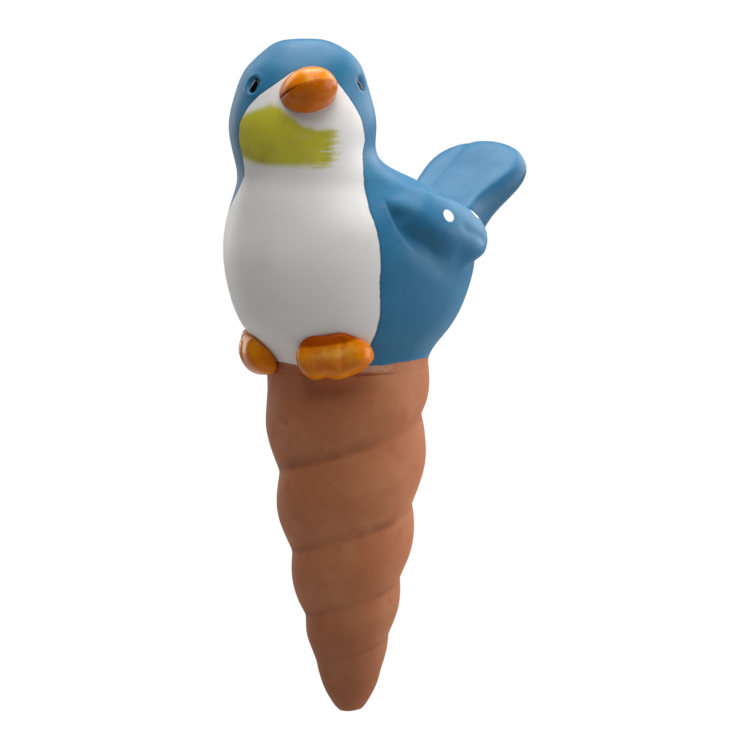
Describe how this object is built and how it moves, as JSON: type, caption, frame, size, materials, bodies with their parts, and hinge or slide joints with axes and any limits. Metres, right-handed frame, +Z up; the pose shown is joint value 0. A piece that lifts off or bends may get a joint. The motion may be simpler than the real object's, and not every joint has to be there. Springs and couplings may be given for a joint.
{
  "type": "self watering spike",
  "caption": "Hollow clay bird on a twisted porous clay spike; filled through a hole in its back, it waters a pot plant slowly.",
  "frame": {"origin": "on the spike's axis at the soil line, where the bird stands on the spike's rim", "axes": "+Z up out of the soil along the spike's axis, -Y the way the bird's body faces, +X the bird's left"},
  "size_m": [0.0676, 0.0929, 0.181],
  "materials": {
    "terracotta": "bare, fired, porous",
    "blue_paint": "terracotta under matt blue paint",
    "orange_paint": "terracotta under satin orange paint",
    "black_paint": "terracotta under glossy black paint"
  },
  "bodies": {
    "root": {"soil_spike": "terracotta", "bird_body": "blue_paint", "bird_head": "blue_paint", "left_wing": "blue_paint", "right_wing": "blue_paint", "tail": "blue_paint", "upper_beak": "orange_paint", "lower_beak": "orange_paint", "left_foot": "orange_paint", "right_foot": "orange_paint", "left_eye": "black_paint", "right_eye": "black_paint"}
  },
  "joints": []
}
